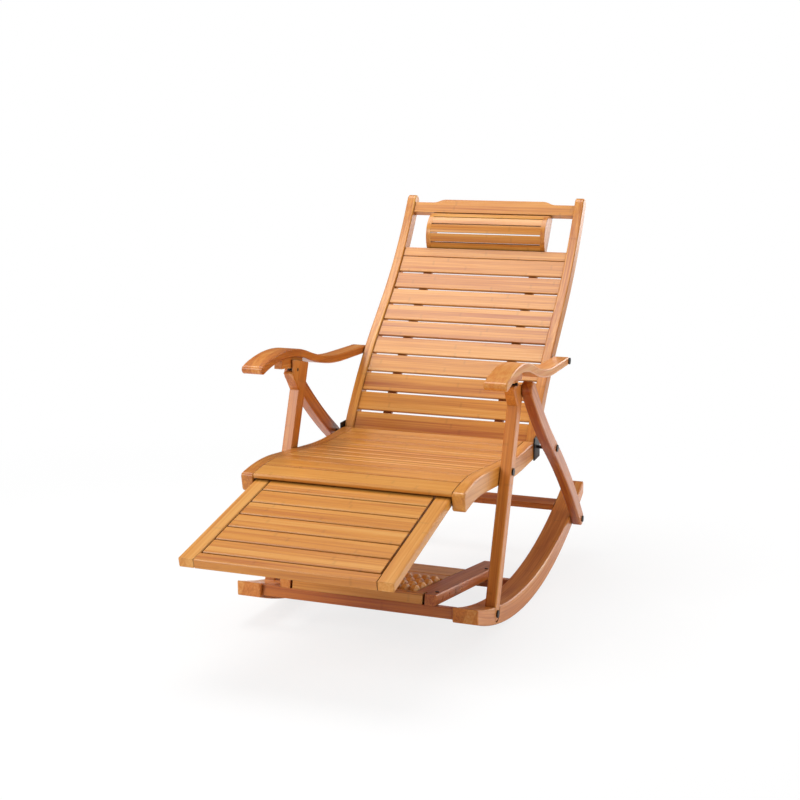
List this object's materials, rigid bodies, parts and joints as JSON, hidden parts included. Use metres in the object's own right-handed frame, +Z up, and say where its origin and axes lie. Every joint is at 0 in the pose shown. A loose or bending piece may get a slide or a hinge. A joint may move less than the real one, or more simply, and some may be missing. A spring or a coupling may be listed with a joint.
{
  "type": "reclining rocking chair",
  "caption": "Bamboo rocking lounger on curved rockers, with reclining slatted back, waved arms, headrest, sliding tilting footrest and foot rollers.",
  "frame": {"origin": "On the floor, midway between the lowest points of the two rockers, as the empty chair stands with its footrest out.", "axes": "+X to the right seen from the front, -Y to the front, +Z up."},
  "size_m": [0.576, 1.3232, 0.9168],
  "materials": {
    "bamboo_frame": "clear-lacquered carbonised bamboo, straight grain",
    "bamboo_slat": "clear-lacquered bamboo strips",
    "bamboo_turned": "turned and lacquered bamboo",
    "dark_steel": "black coated steel"
  },
  "bodies": {
    "frame": {"catch_pins": "dark_steel", "frame_bolts": "dark_steel", "front_leg_left": "bamboo_frame", "front_leg_right": "bamboo_frame", "front_stretcher": "bamboo_frame", "hinge_pins": "dark_steel", "hinge_plate_left": "dark_steel", "hinge_plate_right": "dark_steel", "massage_boards": "bamboo_slat", "massage_front_bar": "bamboo_frame", "massage_rail_left": "bamboo_frame", "massage_rail_right": "bamboo_frame", "massage_screws": "dark_steel", "middle_stretcher": "bamboo_frame", "rear_leg_left": "bamboo_frame", "rear_leg_right": "bamboo_frame", "rear_stretcher": "bamboo_frame", "rocker_left": "bamboo_frame", "rocker_right": "bamboo_frame", "seat_front_rail": "bamboo_frame", "seat_rail_left": "bamboo_frame", "seat_rail_right": "bamboo_frame", "seat_rear_rail": "bamboo_frame", "seat_slats": "bamboo_slat"},
    "arm_left": {"arm_bolt_left": "dark_steel", "arm_left": "bamboo_frame", "arm_rack_left": "bamboo_frame"},
    "arm_right": {"arm_bolt_right": "dark_steel", "arm_rack_right": "bamboo_frame", "arm_right": "bamboo_frame"},
    "back": {"back_batten_left": "bamboo_frame", "back_batten_right": "bamboo_frame", "back_crest_rail": "bamboo_frame", "back_mid_rail": "bamboo_frame", "back_rail_left": "bamboo_frame", "back_rail_right": "bamboo_frame", "back_slat_1": "bamboo_slat", "back_slat_10": "bamboo_slat", "back_slat_2": "bamboo_slat", "back_slat_3": "bamboo_slat", "back_slat_4": "bamboo_slat", "back_slat_5": "bamboo_slat", "back_slat_6": "bamboo_slat", "back_slat_7": "bamboo_slat", "back_slat_8": "bamboo_slat", "back_slat_9": "bamboo_slat", "headrest_end_left": "bamboo_frame", "headrest_end_right": "bamboo_frame", "headrest_staves": "bamboo_slat"},
    "footrest_carriage": {"footrest_pins": "dark_steel"},
    "footrest_panel": {"footrest_battens": "bamboo_frame", "footrest_front_rail": "bamboo_frame", "footrest_rail_left": "bamboo_frame", "footrest_rail_right": "bamboo_frame", "footrest_slats": "bamboo_slat"},
    "massage_roller_1": {"massage_roller_1": "bamboo_turned"},
    "massage_roller_2": {"massage_roller_2": "bamboo_turned"},
    "massage_roller_3": {"massage_roller_3": "bamboo_turned"},
    "massage_roller_4": {"massage_roller_4": "bamboo_turned"}
  },
  "joints": [
    {"name": "back_recline", "type": "hinge", "parent": "frame", "child": "back", "pos_m": [0, 0.13906, 0.33839], "axis": [-1, 0, 0], "range_deg": [-8, 20]},
    {"name": "arm_left_pivot", "type": "hinge", "parent": "back", "child": "arm_left", "pos_m": [0, 0.26799, 0.52828], "axis": [-1, 0, 0], "range_deg": [-13.7, 5.54]},
    {"name": "arm_right_pivot", "type": "hinge", "parent": "back", "child": "arm_right", "pos_m": [0, 0.26799, 0.52828], "axis": [-1, 0, 0], "range_deg": [-13.7, 5.54]},
    {"name": "footrest_slide", "type": "slide", "parent": "frame", "child": "footrest_carriage", "axis": [0, 0.9997, 0.0239], "range_m": [0, 0.3]},
    {"name": "footrest_tilt", "type": "hinge", "parent": "footrest_carriage", "child": "footrest_panel", "pos_m": [0, -0.41133, 0.30968], "axis": [-1, 0, 0], "range_deg": [-0.1, 13.1]},
    {"name": "roller_1_spin", "type": "hinge", "parent": "frame", "child": "massage_roller_1", "pos_m": [0, -0.33221, 0.09376], "axis": [1, 0, 0], "continuous": true},
    {"name": "roller_2_spin", "type": "hinge", "parent": "frame", "child": "massage_roller_2", "pos_m": [0, -0.28865, 0.08918], "axis": [1, 0, 0], "continuous": true},
    {"name": "roller_3_spin", "type": "hinge", "parent": "frame", "child": "massage_roller_3", "pos_m": [0, -0.24509, 0.0846], "axis": [1, 0, 0], "continuous": true},
    {"name": "roller_4_spin", "type": "hinge", "parent": "frame", "child": "massage_roller_4", "pos_m": [0, -0.20153, 0.08003], "axis": [1, 0, 0], "continuous": true}
  ],
  "couplings": [
    {"joint": "arm_left_pivot", "follows": "back_recline", "ratio": -0.68},
    {"joint": "arm_right_pivot", "follows": "back_recline", "ratio": -0.68},
    {"joint": "footrest_tilt", "follows": "footrest_slide", "rad_per_m": 0.75631}
  ]
}
